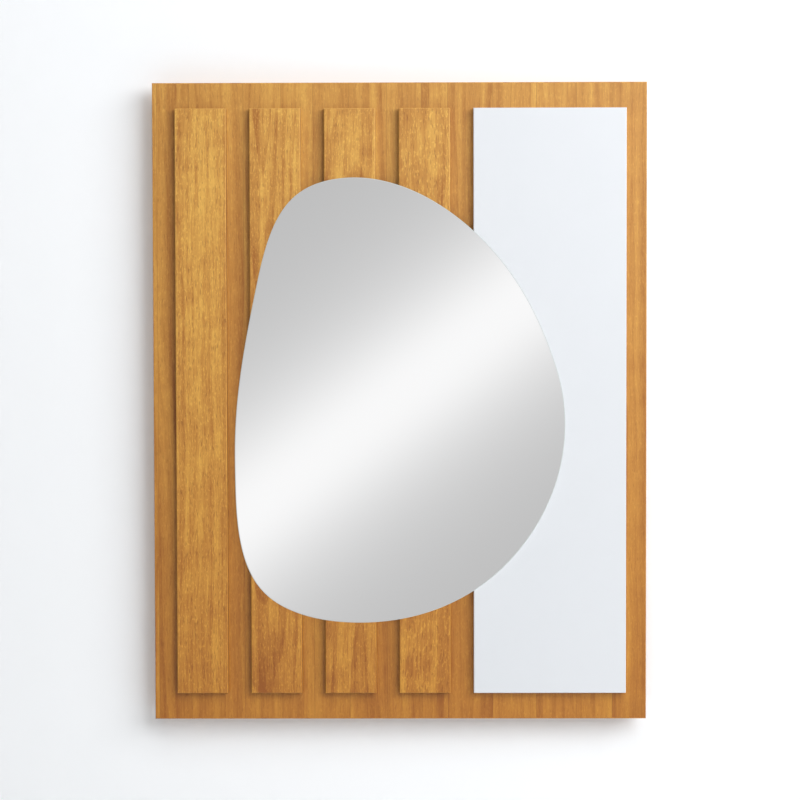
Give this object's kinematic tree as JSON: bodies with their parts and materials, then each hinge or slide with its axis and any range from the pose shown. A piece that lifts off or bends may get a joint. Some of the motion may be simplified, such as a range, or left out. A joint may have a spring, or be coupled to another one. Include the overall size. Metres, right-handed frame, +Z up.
{
  "type": "slatted wall mirror panel",
  "caption": "Wall-hung wood-look panel with upright slats, a white side panel and a freeform pebble-shaped mirror, hung on keyhole plates.",
  "frame": {"origin": "on the wall plane, midway between the round entries of the two keyhole plates", "axes": "+X to the right seen from the front, +Y into the wall, +Z up; the face looks along -Y"},
  "size_m": [0.6, 0.0448, 0.775],
  "materials": {
    "oak_board": "satin",
    "oak_band": "satin",
    "oak_slat": "satin",
    "white_lacquer": "satin",
    "silvered_glass": "polished",
    "foam_tape": "matte",
    "batten_fibreboard": "matte",
    "zinc_steel": "satin",
    "yellow_zinc": "satin",
    "bumper_rubber": "matte"
  },
  "bodies": {
    "root": {"backing_board": "oak_board", "edge_band_top": "oak_band", "edge_band_bottom": "oak_band", "edge_band_left": "oak_band", "edge_band_right": "oak_band", "slat_1": "oak_slat", "slat_2": "oak_slat", "slat_3": "oak_slat", "slat_4": "oak_slat", "white_panel": "white_lacquer", "mirror_glass": "silvered_glass", "mirror_tape": "foam_tape", "rear_rail_top": "batten_fibreboard", "rear_rail_bottom": "batten_fibreboard", "rear_stile_left": "batten_fibreboard", "rear_stile_right": "batten_fibreboard", "keyhole_plate_left": "zinc_steel", "keyhole_plate_right": "zinc_steel", "keyhole_plate_screws": "yellow_zinc", "frame_screws": "yellow_zinc", "wall_bumpers": "bumper_rubber"}
  },
  "joints": []
}
